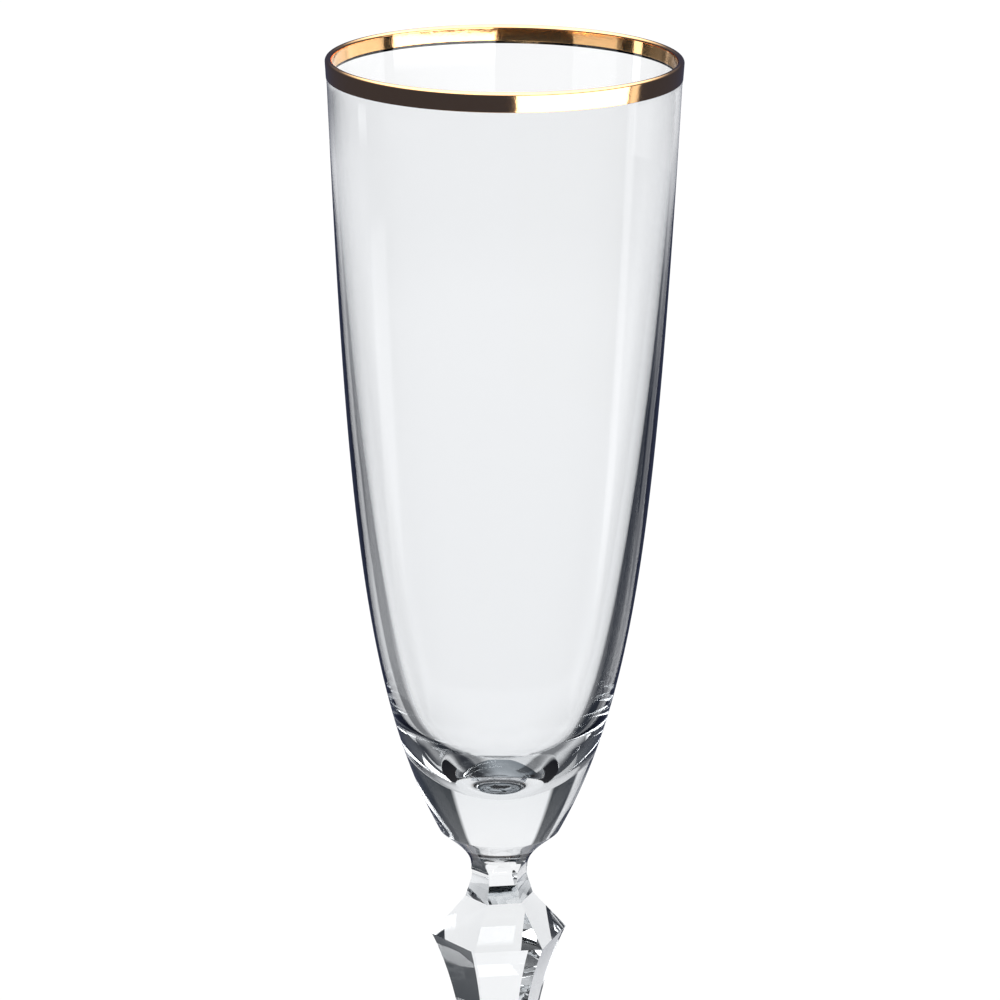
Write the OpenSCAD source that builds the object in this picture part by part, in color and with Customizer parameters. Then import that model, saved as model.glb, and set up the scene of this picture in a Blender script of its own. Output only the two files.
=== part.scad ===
// Champagne flute: a tall blown bowl with a fired gold rim, a six-sided cut stem and a round foot.
// Millimetres, +Z up, origin at the centre of the foot on the table. A corner of the stem lies on +X.

/* [Overall] */
// Height of the glass, from the table to the lip
glass_h = 240; // [230:1:260]
// Outer diameter of the bowl at the lip
rim_d = 60; // [54:1:66]

/* [Bowl] */
// Height of the bowl, from its seat on the stem to the lip
bowl_h = 141; // [130:1:146]
// Wall thickness at the lip
lip_t = 1.0; // [0.8:0.1:1.4]
// Solid glass between the seat and the bottom of the cavity
base_t = 13.5; // [11:0.5:16]
// Radius of the fused seat between bowl and stem
seat_r = 6.1; // [6:0.1:6.3]

/* [Gold rim] */
// Height of the gold on the outside
gold_out_h = 3.2; // [2:0.1:3.8]
// Height of the gold on the inside
gold_in_h = 2.6; // [1.5:0.1:3.8]
// Thickness of the gold film
gold_t = 0.08; // [0.05:0.01:0.15]

/* [Stem] */
// Number of cut sides
sides = 6; // [6:2:8]
// Corner radius at the narrowest place of the neck
neck_r = 4.9; // [4.5:0.1:5]
// Corner radius of the collar edge under the neck
collar_r = 6.0; // [5.8:0.1:6.4]
// Corner radius of the knop
knop_r = 12; // [10:0.5:14]
// Corner radius of the slender part above the foot
waist_r = 4.4; // [4:0.1:4.8]

/* [Foot] */
// Diameter of the foot
foot_d = 68; // [60:1:76]
// Height of the foot, from the table to its seat under the stem
foot_h = 11; // [10:0.5:13]
// Thickness of the foot at its edge
edge_t = 2.2; // [1.8:0.1:3]
// Depth of the shallow dish under the foot
dish_h = 1.4; // [0.8:0.1:1.8]
// Width of the flat ring that rests on the table
rest_w = 4; // [3:0.5:6]

/* [Hidden] */
$fn = 120;

rim_r = rim_d / 2;
foot_r = foot_d / 2;
seat_z = glass_h - bowl_h;
glass_color = [0.86, 0.90, 0.91, 0.5];

// The last few millimetres under the lip are a plain cone, on which the gold sits.
lip_straight = 4;
lip_taper = 0.25;
lip_r = lip_t / 2;
lip_z = glass_h - lip_r;
lip_low_z = lip_z - lip_straight;

// Heights on the stem
neck_z = seat_z - 4.3;
collar_z = seat_z - 8.5;
knop_z = seat_z - 15.3;
waist_z = 36;

// Steps along each curve
side_steps = 40;
bend_steps = 14;

// A point on a cubic Bezier curve, and the whole curve as n steps.
function bezier(p, t) =
    pow(1 - t, 3) * p[0] + 3 * t * pow(1 - t, 2) * p[1] + 3 * t * t * (1 - t) * p[2] + pow(t, 3) * p[3];
function curve(p, n) = [for (i = [0:n]) bezier(p, i / n)];
function reversed(list) = [for (i = [len(list) - 1:-1:0]) list[i]];

// Outer wall of the bowl, [radius, height], from under the lip to the shoulder, then round the shoulder to the seat.
outer_side = [
    [rim_r - lip_taper, lip_low_z],
    [0.89 * rim_r, seat_z + 0.459 * bowl_h],
    [0.796 * rim_r, seat_z + 0.209 * bowl_h],
    [10.6, seat_z + 4.2]
];
outer_shoulder = [
    [10.6, seat_z + 4.2],
    [10.4, seat_z + 3.8],
    [seat_r + 1.6, seat_z + 2.1],
    [seat_r, seat_z]
];

// Wall of the cavity, from under the lip to the bend, then round the bend to the centre of its floor.
cavity_z = seat_z + base_t;
inner_side = [
    [rim_r - lip_t - lip_taper, lip_low_z],
    [0.899 * rim_r, seat_z + 0.578 * bowl_h],
    [0.639 * rim_r, seat_z + 0.223 * bowl_h],
    [13.2, cavity_z + 9.3]
];
inner_floor = [
    [13.2, cavity_z + 9.3],
    [9.8, cavity_z + 4.4],
    [6, cavity_z],
    [0, cavity_z]
];

// Rounded lip, from its outer edge over the top to its inner edge.
function lip_arc(r) = [
    for (a = [0:15:180]) [rim_r - lip_r + r * cos(a), lip_z + r * sin(a)]
];

// The flared part of the stem above the neck, and the flare that leads into the foot.
stem_top = [
    [seat_r, seat_z],
    [seat_r - 0.6, seat_z - 0.8],
    [neck_r + 0.1, seat_z - 1.7],
    [neck_r + 0.1, seat_z - 2.7]
];
stem_end = [
    [waist_r + 0.9, foot_h + 8],
    [waist_r + 0.9, foot_h + 5],
    [waist_r + 1.3, foot_h + 2],
    [waist_r + 2.4, foot_h]
];
foot_top = [
    [waist_r + 2.4, foot_h],
    [waist_r + 4.4, foot_h - 3.7],
    [0.55 * foot_r, edge_t + 1.4],
    [foot_r - edge_t / 2, edge_t]
];
foot_dish = [
    [foot_r - edge_t / 2 - rest_w, 0],
    [0.6 * foot_r, 0],
    [0.4 * foot_r, dish_h],
    [0, dish_h]
];

// Corner radius of the cut sides: a concave neck, a straight cone to the knop, a long hollow taper, and a flare.
neck_top_cut = curve([
    [seat_r + 1.9, seat_z + 0.4],
    [neck_r + 0.9, seat_z - 1.1],
    [neck_r + 0.05, seat_z - 2.6],
    [neck_r, neck_z]
], bend_steps);
neck_foot_cut = curve([
    [neck_r, neck_z],
    [neck_r, neck_z - 1.1],
    [collar_r - 0.4, neck_z - 2.7],
    [collar_r, collar_z]
], bend_steps);
taper_cut = curve([
    [knop_r, knop_z],
    [0.55 * knop_r, knop_z - 11.2],
    [waist_r + 0.2, knop_z - 27],
    [waist_r, waist_z]
], side_steps);
flare_cut = curve([
    [waist_r, waist_z],
    [waist_r, waist_z - 12],
    [waist_r + 0.4, foot_h + 6],
    [waist_r + 4.6, foot_h - 0.4]
], bend_steps);
cut_profile = concat(
    neck_top_cut,
    [for (i = [1:bend_steps]) neck_foot_cut[i]],
    taper_cut,
    [for (i = [1:bend_steps]) flare_cut[i]]
);

module glass() {
    color(glass_color) children();
}

// Turns an outline of [radius, height] points round the Z axis.
module turned(outline) {
    rotate_extrude() polygon(outline);
}

module bowl() {
    glass() turned(concat(
        [[0, seat_z]],
        reversed(curve(outer_shoulder, bend_steps)),
        [for (i = [side_steps - 1:-1:0]) bezier(outer_side, i / side_steps)],
        lip_arc(lip_r),
        curve(inner_side, side_steps),
        [for (i = [1:bend_steps]) bezier(inner_floor, i / bend_steps)]
    ));
}

// Radius of the lip's cone at a depth below its rounded edge, on the outside.
function cone_r(depth) = rim_r - lip_taper * depth / lip_straight;

module gold_rim() {
    out_z = glass_h - gold_out_h;
    in_z = glass_h - gold_in_h;
    out_r = cone_r(lip_z - out_z);
    in_r = cone_r(lip_z - in_z) - lip_t;
    color("gold") turned(concat(
        [[out_r, out_z], [out_r + gold_t, out_z]],
        lip_arc(lip_r + gold_t),
        [[in_r - gold_t, in_z], [in_r, in_z]],
        reversed(lip_arc(lip_r))
    ));
}

// The cut sides: each pair of opposite facets is one outline, extruded across the stem.
module cut_sides() {
    reach = 2 * knop_r;
    half = [for (p = cut_profile) [p[0] * cos(180 / sides), p[1]]];
    outline = concat(half, [for (p = reversed(half)) [-p[0], p[1]]]);
    intersection_for (i = [0:sides / 2 - 1])
        rotate([0, 0, (i + 0.5) * 360 / sides])
            rotate([90, 0, 0])
                linear_extrude(height = reach, center = true)
                    polygon(outline);
}

// The round ends of the stem, into which the cut sides run out.
module round_blank() {
    clear_r = knop_r + 1;
    turned(concat(
        [[0, seat_z]],
        curve(stem_top, bend_steps),
        [[neck_r + 0.1, neck_z], [clear_r, neck_z], [clear_r, waist_z], [waist_r + 0.9, waist_z]],
        curve(stem_end, bend_steps),
        [[0, foot_h]]
    ));
}

module stem() {
    glass() intersection() {
        cut_sides();
        round_blank();
    }
}

module foot() {
    edge_r = edge_t / 2;
    edge = [for (a = [90:-15:-90]) [foot_r - edge_r + edge_r * cos(a), edge_r + edge_r * sin(a)]];
    glass() turned(concat(
        [[0, foot_h]],
        curve(foot_top, side_steps),
        [for (i = [1:len(edge) - 1]) edge[i]],
        curve(foot_dish, bend_steps)
    ));
}

bowl();
gold_rim();
stem();
foot();
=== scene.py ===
"""A champagne flute with a gold rim and a cut stem, on a pale studio floor.

The scene is in metres in the part's own frame: +Z up, the foot's centre at the origin, a corner of the stem
on +X. Outlines are lists of (radius, height) in millimetres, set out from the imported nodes' boxes.
"""

from math import cos, pi, radians, sin

import bmesh
import bpy
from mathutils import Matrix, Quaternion, Vector


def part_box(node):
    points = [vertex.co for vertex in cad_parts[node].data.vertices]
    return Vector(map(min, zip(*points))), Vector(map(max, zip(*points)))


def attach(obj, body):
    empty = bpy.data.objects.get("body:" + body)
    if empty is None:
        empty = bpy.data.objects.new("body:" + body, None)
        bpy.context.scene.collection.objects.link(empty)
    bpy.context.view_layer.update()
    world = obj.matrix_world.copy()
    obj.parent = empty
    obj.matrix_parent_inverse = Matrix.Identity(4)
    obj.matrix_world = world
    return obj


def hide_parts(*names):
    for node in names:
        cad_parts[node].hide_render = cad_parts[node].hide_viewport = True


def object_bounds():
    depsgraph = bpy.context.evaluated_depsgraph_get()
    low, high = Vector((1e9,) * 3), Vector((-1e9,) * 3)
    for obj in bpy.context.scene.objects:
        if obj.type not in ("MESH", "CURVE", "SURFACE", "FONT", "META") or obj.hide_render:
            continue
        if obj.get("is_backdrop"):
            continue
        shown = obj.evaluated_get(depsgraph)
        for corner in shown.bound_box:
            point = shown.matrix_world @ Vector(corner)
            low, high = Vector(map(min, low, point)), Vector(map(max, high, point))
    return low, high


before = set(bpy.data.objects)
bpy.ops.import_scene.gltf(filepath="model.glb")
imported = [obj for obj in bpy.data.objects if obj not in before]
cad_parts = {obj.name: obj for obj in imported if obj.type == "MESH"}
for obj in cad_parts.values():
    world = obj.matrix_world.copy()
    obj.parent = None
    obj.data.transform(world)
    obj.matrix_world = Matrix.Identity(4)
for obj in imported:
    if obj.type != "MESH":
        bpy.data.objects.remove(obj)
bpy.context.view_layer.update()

MM = 0.001


def box_mm(node):
    low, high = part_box(node)
    return [round(v / MM, 2) for v in low], [round(v / MM, 2) for v in high]


# Main sizes
bowl_low, bowl_high = box_mm("bowl")
gold_low, gold_high = box_mm("gold_rim")
_, stem_high = box_mm("stem")
_, foot_high = box_mm("foot")
SEAT_Z = bowl_low[2]
GLASS_H = bowl_high[2]
BOWL_H = GLASS_H - SEAT_Z
RIM_R = bowl_high[0]
GOLD_T = gold_high[2] - GLASS_H
GOLD_OUT_Z = gold_low[2]
KNOP_R = stem_high[0]
FOOT_H = foot_high[2]
FOOT_R = foot_high[0]

# Camera, in metres from the middle of the lip
VIEW_AZIMUTH = radians(-9.4)
CAMERA_BACK = 0.7521
CAMERA_UP = 0.1464
CAMERA_ASIDE = -0.0003
PITCH = radians(16.55)
ROLL = radians(0.37)
LENS = 164.3
SENSOR = 36


def make_camera():
    data = bpy.data.cameras.new("camera")
    data.lens = LENS
    data.sensor_width = SENSOR
    data.clip_start = 0.05
    data.clip_end = 100
    camera = bpy.data.objects.new("camera", data)
    bpy.context.scene.collection.objects.link(camera)
    aside = Vector((cos(VIEW_AZIMUTH), sin(VIEW_AZIMUTH), 0))
    back = Vector((sin(VIEW_AZIMUTH), -cos(VIEW_AZIMUTH), 0))
    camera.location = back * CAMERA_BACK + aside * CAMERA_ASIDE + Vector((0, 0, GLASS_H * MM + CAMERA_UP))
    look = -back * cos(PITCH) + Vector((0, 0, -sin(PITCH)))
    camera.rotation_mode = "QUATERNION"
    camera.rotation_quaternion = look.to_track_quat("-Z", "Y") @ Quaternion((0, 0, 1), ROLL)
    bpy.context.scene.camera = camera


make_camera()


# ---------------------------------------------------------------------------------------------- outlines
def bezier(p, t):
    return tuple(
        (1 - t) ** 3 * a + 3 * t * (1 - t) ** 2 * b + 3 * t * t * (1 - t) * c + t**3 * d
        for a, b, c, d in zip(*p)
    )


def curve(p, n):
    return [bezier(p, i / n) for i in range(n + 1)]


def at_height(line, z):
    """The radius of an outline at a height, between its points. The heights fall from first to last."""
    for (r0, z0), (r1, z1) in zip(line, line[1:]):
        if z1 <= z <= z0:
            return r0 if z0 == z1 else r0 + (r1 - r0) * (z0 - z) / (z0 - z1)
    return line[0][0] if z > line[0][1] else line[-1][0]


# Bowl. A short plain cone under the lip carries the gold, and the base is solid from the seat to the cavity.
LIP_T = 1.0
LIP_R = LIP_T / 2
LIP_Z = GLASS_H - LIP_R
LIP_STRAIGHT = 4
LIP_TAPER = 0.25
BASE_T = 13.5
SEAT_R = 6.1
CAVITY_Z = SEAT_Z + BASE_T
SHOULDER = (10.6, SEAT_Z + 4.2)
CAVITY_EDGE = (13.2, CAVITY_Z + 9.3)

outer_side = [
    (RIM_R - LIP_TAPER, LIP_Z - LIP_STRAIGHT),
    (0.89 * RIM_R, SEAT_Z + 0.459 * BOWL_H),
    (0.796 * RIM_R, SEAT_Z + 0.209 * BOWL_H),
    SHOULDER,
]
outer_shoulder = [SHOULDER, (10.4, SEAT_Z + 3.8), (SEAT_R + 1.6, SEAT_Z + 2.1), (SEAT_R, SEAT_Z)]
inner_side = [
    (RIM_R - LIP_T - LIP_TAPER, LIP_Z - LIP_STRAIGHT),
    (0.899 * RIM_R, SEAT_Z + 0.578 * BOWL_H),
    (0.639 * RIM_R, SEAT_Z + 0.223 * BOWL_H),
    CAVITY_EDGE,
]
inner_floor = [CAVITY_EDGE, (9.8, CAVITY_Z + 4.4), (6, CAVITY_Z), (0, CAVITY_Z)]


def lip_arc(r, steps=16):
    """A half round over the lip, from its outside to its inside."""
    return [
        (RIM_R - LIP_R + r * cos(pi * i / steps), LIP_Z + r * sin(pi * i / steps)) for i in range(steps + 1)
    ]


bowl_outline = (
    [(0, SEAT_Z)]
    + curve(outer_shoulder, 24)[::-1]
    + curve(outer_side, 72)[-2::-1]
    + lip_arc(LIP_R)
    + curve(inner_side, 64)
    + curve(inner_floor, 40)[1:]
)

# Gold. The film laps over the lip and thins to a small bevel at both edges, and sits a hair into the glass.
GOLD_IN_H = 2.6
GOLD_IN_Z = GLASS_H - GOLD_IN_H
BEVEL_T = GOLD_T * 0.6
BEVEL_H = 0.05
BITE = 0.01


def cone_r(depth):
    """The bowl's outer radius at a depth under the lip, on its plain cone."""
    return RIM_R - LIP_TAPER * depth / LIP_STRAIGHT


gold_out_r = cone_r(LIP_Z - GOLD_OUT_Z)
gold_in_r = cone_r(LIP_Z - GOLD_IN_Z) - LIP_T
gold_outline = (
    [
        (gold_out_r - BITE, GOLD_OUT_Z),
        (gold_out_r + BEVEL_T, GOLD_OUT_Z),
        (gold_out_r + GOLD_T, GOLD_OUT_Z + BEVEL_H),
    ]
    + lip_arc(LIP_R + GOLD_T)
    + [
        (gold_in_r - GOLD_T, GOLD_IN_Z + BEVEL_H),
        (gold_in_r - BEVEL_T, GOLD_IN_Z),
        (gold_in_r + BITE, GOLD_IN_Z),
    ]
    + lip_arc(LIP_R - BITE)[::-1]
)

# Stem. A round blank shows at both ends, and the sides cut into it show between them.
NECK_R = 4.9
COLLAR_R = 6.0
WAIST_R = 4.4
FLARE_R = WAIST_R + 2.4
NECK_Z = SEAT_Z - 4.3
COLLAR_Z = SEAT_Z - 8.5
KNOP_Z = SEAT_Z - 15.3
WAIST_Z = 36
END_Z = FOOT_H + 8
SIDES = 6

stem_top = [
    (SEAT_R, SEAT_Z),
    (SEAT_R - 0.6, SEAT_Z - 0.8),
    (NECK_R + 0.1, SEAT_Z - 1.7),
    (NECK_R + 0.1, SEAT_Z - 2.7),
]
stem_end = [
    (WAIST_R + 0.9, END_Z),
    (WAIST_R + 0.9, FOOT_H + 5),
    (WAIST_R + 1.3, FOOT_H + 2),
    (FLARE_R, FOOT_H),
]
neck_cut = [
    (SEAT_R + 1.9, SEAT_Z + 0.4),
    (NECK_R + 0.9, SEAT_Z - 1.1),
    (NECK_R + 0.05, SEAT_Z - 2.6),
    (NECK_R, NECK_Z),
]
collar_cut = [
    (NECK_R, NECK_Z),
    (NECK_R, NECK_Z - 1.1),
    (COLLAR_R - 0.4, NECK_Z - 2.7),
    (COLLAR_R, COLLAR_Z),
]
knop_cut = [
    (KNOP_R, KNOP_Z),
    (0.55 * KNOP_R, KNOP_Z - 11.2),
    (WAIST_R + 0.2, KNOP_Z - 27),
    (WAIST_R, WAIST_Z),
]
waist_cut = [
    (WAIST_R, WAIST_Z),
    (WAIST_R, WAIST_Z - 12),
    (WAIST_R + 0.4, FOOT_H + 6),
    (WAIST_R + 4.6, FOOT_H - 0.4),
]
top_line = curve(stem_top, 24)
end_line = curve(stem_end, 24)
cut_line = curve(neck_cut, 24) + curve(collar_cut, 16)[1:] + curve(knop_cut, 64) + curve(waist_cut, 30)[1:]


def blank_radius(z):
    if z >= NECK_Z:
        return at_height(top_line, z)
    if z <= END_Z:
        return at_height(end_line, z)
    return KNOP_R + 1


def stem_radius(angle, z):
    """Distance from the axis to the surface of the stem: the nearer of the cut side and the round blank."""
    turn = 2 * pi / SIDES
    off = (angle % turn) - turn / 2
    return min(at_height(cut_line, z) * cos(turn / 2) / cos(off), blank_radius(z))


# Foot. Its edge is a half round, its top is hollow, and it rests on a flat ring round a shallow dish.
EDGE_T = 2.2
EDGE_R = EDGE_T / 2
DISH_H = 1.4
REST_W = 4

foot_top = [
    (FLARE_R, FOOT_H),
    (WAIST_R + 4.4, FOOT_H - 3.7),
    (0.55 * FOOT_R, EDGE_T + DISH_H),
    (FOOT_R - EDGE_R, EDGE_T),
]
foot_dish = [(FOOT_R - EDGE_R - REST_W, 0), (0.6 * FOOT_R, 0), (0.4 * FOOT_R, DISH_H), (0, DISH_H)]
foot_edge = [
    (FOOT_R - EDGE_R + EDGE_R * sin(pi * i / 16), EDGE_R - EDGE_R * cos(pi * i / 16)) for i in range(17)
]
foot_outline = curve(foot_dish, 30)[::-1] + foot_edge + curve(foot_top, 60)[-2::-1] + [(0, FOOT_H)]

# ---------------------------------------------------------------------------------------------- meshes
SEGMENTS = 288


def ring_points(z, radius_at):
    """The points of one ring at a height, with a function that gives the radius at each angle."""
    points = []
    for i in range(SEGMENTS):
        angle = 2 * pi * i / SEGMENTS
        r = radius_at(angle)
        points.append((r * cos(angle), r * sin(angle), z))
    return points


def rings_to_mesh(name, rings, sharp=radians(20)):
    """An object from a stack of rings. A ring is one point on the axis, or SEGMENTS points round it. Edges that
    turn by more than the sharp angle stay crisp."""
    verts, faces, first = [], [], []
    for ring in rings:
        first.append(len(verts))
        verts.extend(ring)
    for k in range(len(rings) - 1):
        a, b = first[k], first[k + 1]
        one_a, one_b = len(rings[k]) == 1, len(rings[k + 1]) == 1
        for i in range(SEGMENTS):
            j = (i + 1) % SEGMENTS
            if one_a:
                faces.append((a, b + j, b + i))
            elif one_b:
                faces.append((a + i, a + j, b))
            else:
                faces.append((a + i, a + j, b + j, b + i))
    mesh = bpy.data.meshes.new(name)
    mesh.from_pydata([(x * MM, y * MM, z * MM) for x, y, z in verts], [], faces)
    mesh.validate()
    mesh.shade_smooth()
    mesh.set_sharp_from_angle(angle=sharp)
    obj = bpy.data.objects.new(name, mesh)
    bpy.context.scene.collection.objects.link(obj)
    return obj


def turned(name, outline, closed=False):
    """A turned piece from its outline. A closed outline ends where it starts, away from the axis."""
    rings = [[(0, 0, z)] if r < 1e-6 else ring_points(z, lambda angle: r) for r, z in outline]
    if closed:
        rings.append(rings[0])
    obj = rings_to_mesh(name, rings)
    if closed:
        weld(obj)
    return obj


def weld(obj):
    bm = bmesh.new()
    bm.from_mesh(obj.data)
    bmesh.ops.remove_doubles(bm, verts=bm.verts, dist=1e-7)
    bm.to_mesh(obj.data)
    bm.free()


def make_stem():
    line_heights = {round(z, 3) for _, z in top_line + end_line + cut_line if FOOT_H <= z <= SEAT_Z}
    heights = sorted(line_heights | {FOOT_H, SEAT_Z})
    rings = [[(0, 0, heights[0])]]
    rings += [ring_points(z, lambda angle: stem_radius(angle, z)) for z in heights]
    rings.append([(0, 0, heights[-1])])
    return rings_to_mesh("stem_glass", rings, radians(14))


bowl = turned("bowl_glass", bowl_outline)
stem = make_stem()
foot = turned("foot_glass", foot_outline)
gold = turned("gold_band", gold_outline, closed=True)


# ---------------------------------------------------------------------------------------------- materials
def shader_material(name):
    material = bpy.data.materials.new(name)
    material.use_nodes = True
    nodes, links = material.node_tree.nodes, material.node_tree.links
    return material, nodes, links, nodes["Principled BSDF"]


def empty_material(name):
    material = bpy.data.materials.new(name)
    material.use_nodes = True
    nodes, links = material.node_tree.nodes, material.node_tree.links
    nodes.clear()
    return material, nodes, links


def make_glass():
    """Clear glass: very slight waves left by the fire polish, and a faint cool absorption in its depth."""
    material, nodes, links, shader = shader_material("clear_glass")
    shader.inputs["Base Color"].default_value = (0.985, 0.992, 1, 1)
    shader.inputs["Roughness"].default_value = 0.0
    shader.inputs["IOR"].default_value = 1.53
    shader.inputs["Transmission Weight"].default_value = 1.0
    place = nodes.new("ShaderNodeTexCoord")
    waves = nodes.new("ShaderNodeTexNoise")
    waves.inputs["Scale"].default_value = 45
    waves.inputs["Detail"].default_value = 1
    bump = nodes.new("ShaderNodeBump")
    bump.inputs["Strength"].default_value = 0.02
    bump.inputs["Distance"].default_value = 0.002
    links.new(place.outputs["Object"], waves.inputs["Vector"])
    links.new(waves.outputs["Fac"], bump.inputs["Height"])
    links.new(bump.outputs["Normal"], shader.inputs["Normal"])
    body = nodes.new("ShaderNodeVolumeAbsorption")
    body.inputs["Color"].default_value = (0.02, 0.1, 0.16, 1)
    body.inputs["Density"].default_value = 6.0
    links.new(body.outputs["Volume"], nodes["Material Output"].inputs["Volume"])
    return material


def make_fused():
    """The seats between the glass pieces, where they are fused and nothing shows."""
    material, nodes, links = empty_material("fused_seat")
    clear = nodes.new("ShaderNodeBsdfTransparent")
    out = nodes.new("ShaderNodeOutputMaterial")
    links.new(clear.outputs[0], out.inputs["Surface"])
    return material


def make_gold():
    """Fired gold, with a fine grain in its colour, gloss and surface."""
    material, nodes, links, shader = shader_material("fired_gold")
    shader.inputs["Metallic"].default_value = 1.0
    place = nodes.new("ShaderNodeTexCoord")
    noise = nodes.new("ShaderNodeTexNoise")
    noise.inputs["Scale"].default_value = 900
    noise.inputs["Detail"].default_value = 3
    ramp = nodes.new("ShaderNodeMapRange")
    ramp.inputs["To Min"].default_value = 0.05
    ramp.inputs["To Max"].default_value = 0.12
    tone = nodes.new("ShaderNodeMix")
    tone.data_type = "RGBA"
    tone.inputs["A"].default_value = (0.93, 0.53, 0.23, 1)
    tone.inputs["B"].default_value = (0.98, 0.60, 0.29, 1)
    bump = nodes.new("ShaderNodeBump")
    bump.inputs["Strength"].default_value = 0.05
    bump.inputs["Distance"].default_value = 0.0002
    links.new(place.outputs["Object"], noise.inputs["Vector"])
    links.new(noise.outputs["Fac"], ramp.inputs["Value"])
    links.new(ramp.outputs["Result"], shader.inputs["Roughness"])
    links.new(noise.outputs["Fac"], tone.inputs["Factor"])
    links.new(tone.outputs["Result"], shader.inputs["Base Color"])
    links.new(noise.outputs["Fac"], bump.inputs["Height"])
    links.new(bump.outputs["Normal"], shader.inputs["Normal"])
    return material


clear_glass = make_glass()
fused_seat = make_fused()
for piece, seats in ((bowl, (SEAT_Z,)), (stem, (SEAT_Z, FOOT_H)), (foot, (FOOT_H,))):
    piece.data.materials.append(clear_glass)
    piece.data.materials.append(fused_seat)
    for face in piece.data.polygons:
        if any(abs(face.center.z / MM - z) < 1e-3 for z in seats) and abs(face.normal.z) > 0.99:
            face.material_index = 1
gold.data.materials.append(make_gold())

# ---------------------------------------------------------------------------------------------- studio
WHITE = 1.06
DARK = 0.03
FLOOR_R = 8
FLOOR_Z = -0.0003
WALL_R = 0.5
WINDOW_R = 0.49
STRIP_R = 0.485
SECTOR_R = 0.3
CARD_STEP = 3


def make_world():
    world = bpy.data.worlds.new("studio")
    world.use_nodes = True
    world.node_tree.nodes["Background"].inputs["Color"].default_value = (1, 1, 1, 1)
    world.node_tree.nodes["Background"].inputs["Strength"].default_value = WHITE
    bpy.context.scene.world = world


def make_floor():
    """Pale paper, a hair under the glass so that the two don't share a plane."""
    bpy.ops.mesh.primitive_circle_add(vertices=96, radius=FLOOR_R, fill_type="NGON", location=(0, 0, FLOOR_Z))
    floor = bpy.context.object
    floor.name = "floor"
    material, _, _, shader = shader_material("pale_paper")
    shader.inputs["Base Color"].default_value = (0.98, 0.98, 0.98, 1)
    shader.inputs["Roughness"].default_value = 0.8
    shader.inputs["Specular IOR Level"].default_value = 0.0
    floor.data.materials.append(material)
    floor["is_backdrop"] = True


def card_material(name, tests, tint):
    """Studio card. Its brightness is in its mesh, as the attribute "level", and the tint is added to it. It shows
    only to light that passes all the tests, each a count from the light path and a limit to that count."""
    material, nodes, links = empty_material(name)
    level = nodes.new("ShaderNodeAttribute")
    level.attribute_name = "level"
    cool = nodes.new("ShaderNodeVectorMath")
    cool.inputs[1].default_value = tint
    shine = nodes.new("ShaderNodeEmission")
    shine.inputs["Strength"].default_value = 1
    clear = nodes.new("ShaderNodeBsdfTransparent")
    path = nodes.new("ShaderNodeLightPath")
    mix = nodes.new("ShaderNodeMixShader")
    out = nodes.new("ShaderNodeOutputMaterial")
    shown = None
    for count, operation, limit in tests:
        test = nodes.new("ShaderNodeMath")
        test.operation = operation
        test.inputs[1].default_value = limit
        links.new(path.outputs[count], test.inputs[0])
        if shown is None:
            shown = test
        else:
            both = nodes.new("ShaderNodeMath")
            both.operation = "MULTIPLY"
            links.new(shown.outputs[0], both.inputs[0])
            links.new(test.outputs[0], both.inputs[1])
            shown = both
    links.new(level.outputs["Fac"], cool.inputs[0])
    links.new(cool.outputs[0], shine.inputs["Color"])
    links.new(shown.outputs[0], mix.inputs[0])
    links.new(clear.outputs[0], mix.inputs[1])
    links.new(shine.outputs[0], mix.inputs[2])
    links.new(mix.outputs[0], out.inputs["Surface"])
    return material


DIRECT = ("Diffuse Depth", "LESS_THAN", 0.5)
AFTER_MIRROR = ("Glossy Depth", "GREATER_THAN", 0.5)
NO_MIRROR = ("Glossy Depth", "LESS_THAN", 0.5)
ONE_WALL = ("Transmission Depth", "LESS_THAN", 2.5)
OUTSIDE = card_material("card_outside", [DIRECT, AFTER_MIRROR], (0.02, 0.03, 0.08))
MIRRORED = card_material("card_mirrored", [DIRECT, AFTER_MIRROR], (0.004, 0.008, 0.014))
BAND_ONLY = card_material("card_band_only", [DIRECT, AFTER_MIRROR, ONE_WALL], (0, 0, 0))
SEEN_THROUGH = card_material("card_seen_through", [DIRECT, NO_MIRROR, ONE_WALL], (0.004, 0.01, 0.014))


def level_at(stops, p):
    for (p0, v0), (p1, v1) in zip(stops, stops[1:]):
        if p0 <= p <= p1:
            return v1 if p1 == p0 else v0 + (v1 - v0) * (p - p0) / (p1 - p0)
    return stops[-1][1]


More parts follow.
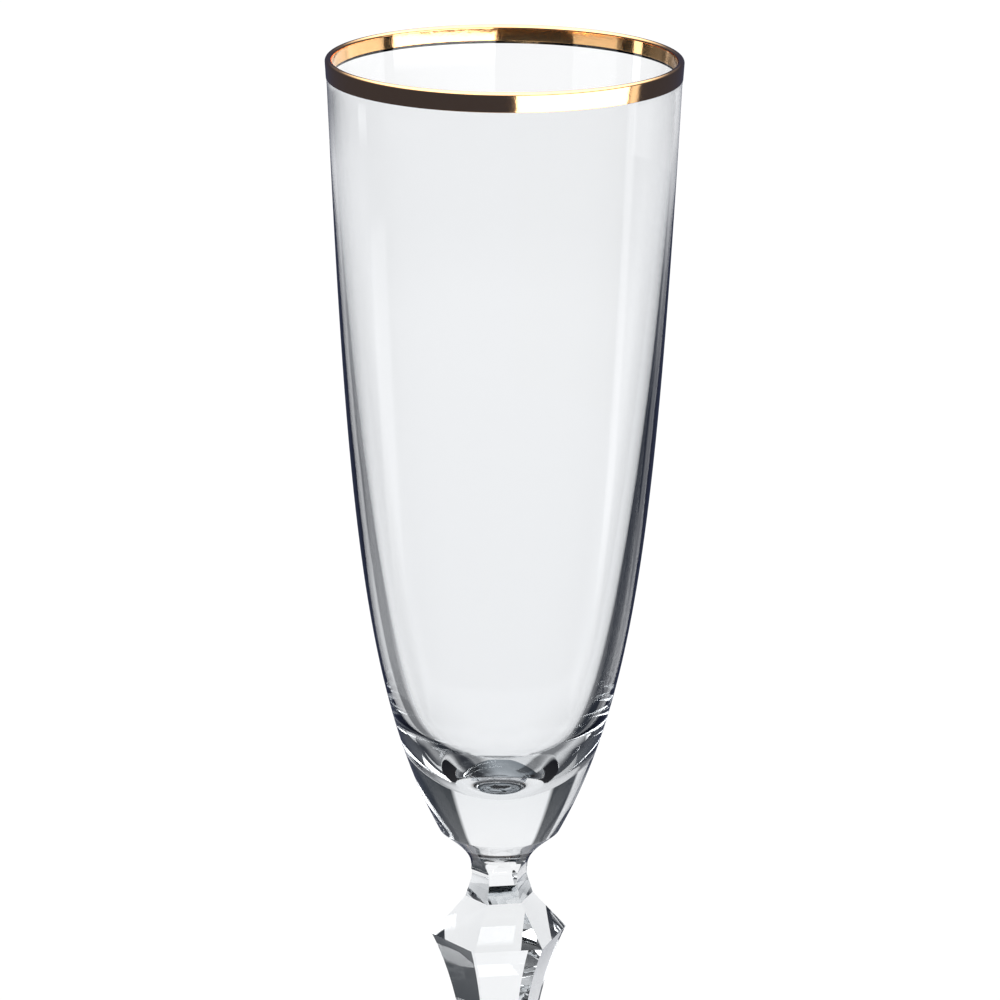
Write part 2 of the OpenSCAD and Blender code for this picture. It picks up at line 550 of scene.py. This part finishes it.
def shell(name, rows, material, only=()):
    """A studio card curved round the glass. Each row is a radius, a height and its stops: brightness at azimuths
    in degrees, 0 being towards the camera and right being positive. It shades nothing, and where it would be as
    white as the world it has no faces. It is mirrored in all the pieces, or only in those given."""
    marks = sorted({p for _, _, stops in rows for p, _ in stops})
    columns = []
    for p0, p1 in zip(marks, marks[1:]):
        n = max(1, round((p1 - p0) / CARD_STEP))
        columns += [p0 + (p1 - p0) * i / n for i in range(n)]
    columns.append(marks[-1])
    verts, faces, levels = [], [], []
    for r, z, stops in rows:
        for p in columns:
            a = radians(p) + VIEW_AZIMUTH
            verts.append((r * sin(a), -r * cos(a), z))
            levels.append(level_at(stops, p))
    n = len(columns)
    for k in range(len(rows) - 1):
        for i in range(n - 1):
            corners = (k * n + i, k * n + i + 1, (k + 1) * n + i + 1, (k + 1) * n + i)
            if any(levels[c] != WHITE for c in corners):
                faces.append(corners)
    mesh = bpy.data.meshes.new(name)
    mesh.from_pydata(verts, [], faces)
    mesh.materials.append(material)
    mesh.attributes.new("level", "FLOAT", "POINT").data.foreach_set("value", levels)
    obj = bpy.data.objects.new(name, mesh)
    bpy.context.scene.collection.objects.link(obj)
    obj.visible_camera = False
    obj.visible_diffuse = False
    obj.visible_shadow = False
    obj.visible_glossy = material is OUTSIDE
    obj.visible_transmission = material is not OUTSIDE
    if only:
        receivers = bpy.data.collections.new(name + "_receivers")
        for piece in only:
            receivers.objects.link(piece)
        obj.light_linking.receiver_collection = receivers
    obj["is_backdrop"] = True


def flat(level, start=-180, end=180):
    """Stops with one brightness between two azimuths."""
    return [(start, level), (end, level)]


make_world()
make_floor()

# What the outside of the glass and of the band mirrors: a dark room, white above and close to the foot, with a
# window and a ceiling for the gold and a soft strip on each side
shell(
    "outside",
    [
        (0.05, 0.0006, flat(WHITE)),
        (0.14, 0.0006, flat(DARK)),
        (WALL_R, 0.0006, flat(DARK)),
        (WALL_R, 0.35, flat(DARK)),
        (WALL_R, 1.2, flat(WHITE)),
    ],
    OUTSIDE,
)
window_light = flat(4.0, 7.6, 84)
shell("outside_window", [(WINDOW_R, 0.0, window_light), (WINDOW_R, 0.35, window_light)], OUTSIDE, only=[gold])
ceiling_light = flat(3.0)
shell(
    "outside_ceiling",
    [
        (WINDOW_R, 0.45, flat(DARK)),
        (WINDOW_R, 0.7, ceiling_light),
        (WINDOW_R, 1.2, ceiling_light),
        (0.001, 1.2, ceiling_light),
    ],
    OUTSIDE,
    only=[gold],
)
for name, start, end, top, level, only in (
    ("strip_left", -101, -83, 0.08, 0.8, (bowl, stem, foot)),
    ("strip_right", 84, 94, 0.35, 1.2, ()),
):
    bright = [(start, DARK), (start + 3, level), (end - 3, level), (end, DARK)]
    ends = flat(DARK, start, end)
    shell(
        name,
        [
            (0.2, 0.001, ends),
            (0.4, 0.001, bright),
            (STRIP_R, 0.001, bright),
            (STRIP_R, 0.9 * top, bright),
            (STRIP_R, top, ends),
        ],
        OUTSIDE,
        only=only,
    )


def around(front, left, right, back, left_line, right_line):
    """Stops all round the glass. The two lines are narrow, and draw the bowl's inner wall near its outline."""
    return [
        (-180, back), (-166, left), (-152, left), (-148, left_line), (-133, left_line), (-122, left),
        (-100, front), (100, front), (122, right), (133, right_line), (148, right_line), (152, right),
        (158, right), (170, back), (180, back),
    ]


# What is mirrored inside the glass: a pale floor and a brightness of its own for each side, dark higher up
inside_floor = around(0.7, 0.85, 0.25, 0.95, 0.25, 0.02)
shell(
    "inside",
    [
        (0.045, 0.0004, flat(WHITE)),
        (0.12, 0.0004, inside_floor),
        (WALL_R, 0.0004, inside_floor),
        (WALL_R, 0.05, around(0.08, 0.85, 0.45, 0.95, 0.4, 0.1)),
        (WALL_R, 0.1, around(0.05, 0.95, 0.85, 0.95, 0.8, 0.7)),
        (WALL_R, 0.13, around(0.05, 0.5, 0.5, 0.5, 0.4, 0.4)),
        (WALL_R, 0.19, flat(DARK)),
        (WALL_R, 0.3, flat(DARK)),
        (WALL_R, 2.5, flat(WHITE)),
    ],
    MIRRORED,
)

# The windows that the inside of the band mirrors. Each fades in over 30 mm, up to the height given.
for name, start, end, low, low_level, level in (
    ("inside_right_back", 93, 180, 0.13, 0.8, 1.1),
    ("inside_window", 6.5, 84, 0.19, DARK, 4.5),
    ("inside_left_mid", -85, -49, 0.13, DARK, 0.8),
    ("inside_left_strip", -109.5, -101, 0.13, DARK, 2.5),
):
    bright = flat(level, start, end)
    fade = flat(low_level, start, end)
    shell(name, [(WINDOW_R, low - 0.03, fade), (WINDOW_R, low, bright), (WINDOW_R, 0.3, bright)], BAND_ONLY)


def sectors(front):
    """Stops all round the glass: dark sectors with clear gaps, the front sectors at a brightness of their own."""
    return [
        (-180, WHITE), (-156, WHITE), (-153, DARK), (-136, DARK), (-133, WHITE), (-118, WHITE), (-115, DARK),
        (-89, DARK), (-86, WHITE), (-75, WHITE), (-72, front), (43, front), (46, WHITE), (63, WHITE),
        (66, front), (84, front), (94, DARK), (156, DARK), (159, WHITE), (180, WHITE),
    ]


# What is seen through the solid glass of the base, the stem and the foot
shell(
    "seen_through",
    [
        (SECTOR_R, 0.0, sectors(DARK)),
        (SECTOR_R, 0.1, sectors(0.1)),
        (SECTOR_R, 0.13, sectors(0.45)),
        (SECTOR_R, 0.19, sectors(0.45)),
        (SECTOR_R, 0.22, sectors(0.1)),
        (SECTOR_R, 0.8, sectors(DARK)),
        (SECTOR_R, 0.85, flat(0.6)),
        (SECTOR_R, 1.2, flat(WHITE)),
    ],
    SEEN_THROUGH,
)

# ---------------------------------------------------------------------------------------------- riding
for piece, node, slot in (
    (bowl, "bowl", "glass"),
    (stem, "stem", "glass"),
    (foot, "foot", "glass"),
    (gold, "gold_rim", "gold"),
):
    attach(piece, "root")
    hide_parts(node)

scene = bpy.context.scene
scene.view_settings.view_transform = "Standard"
scene.cycles.use_denoising = True
scene.cycles.max_bounces = 32
scene.cycles.transmission_bounces = 32
scene.cycles.glossy_bounces = 16
scene.cycles.transparent_max_bounces = 32
scene.cycles.blur_glossy = 0

low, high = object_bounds()
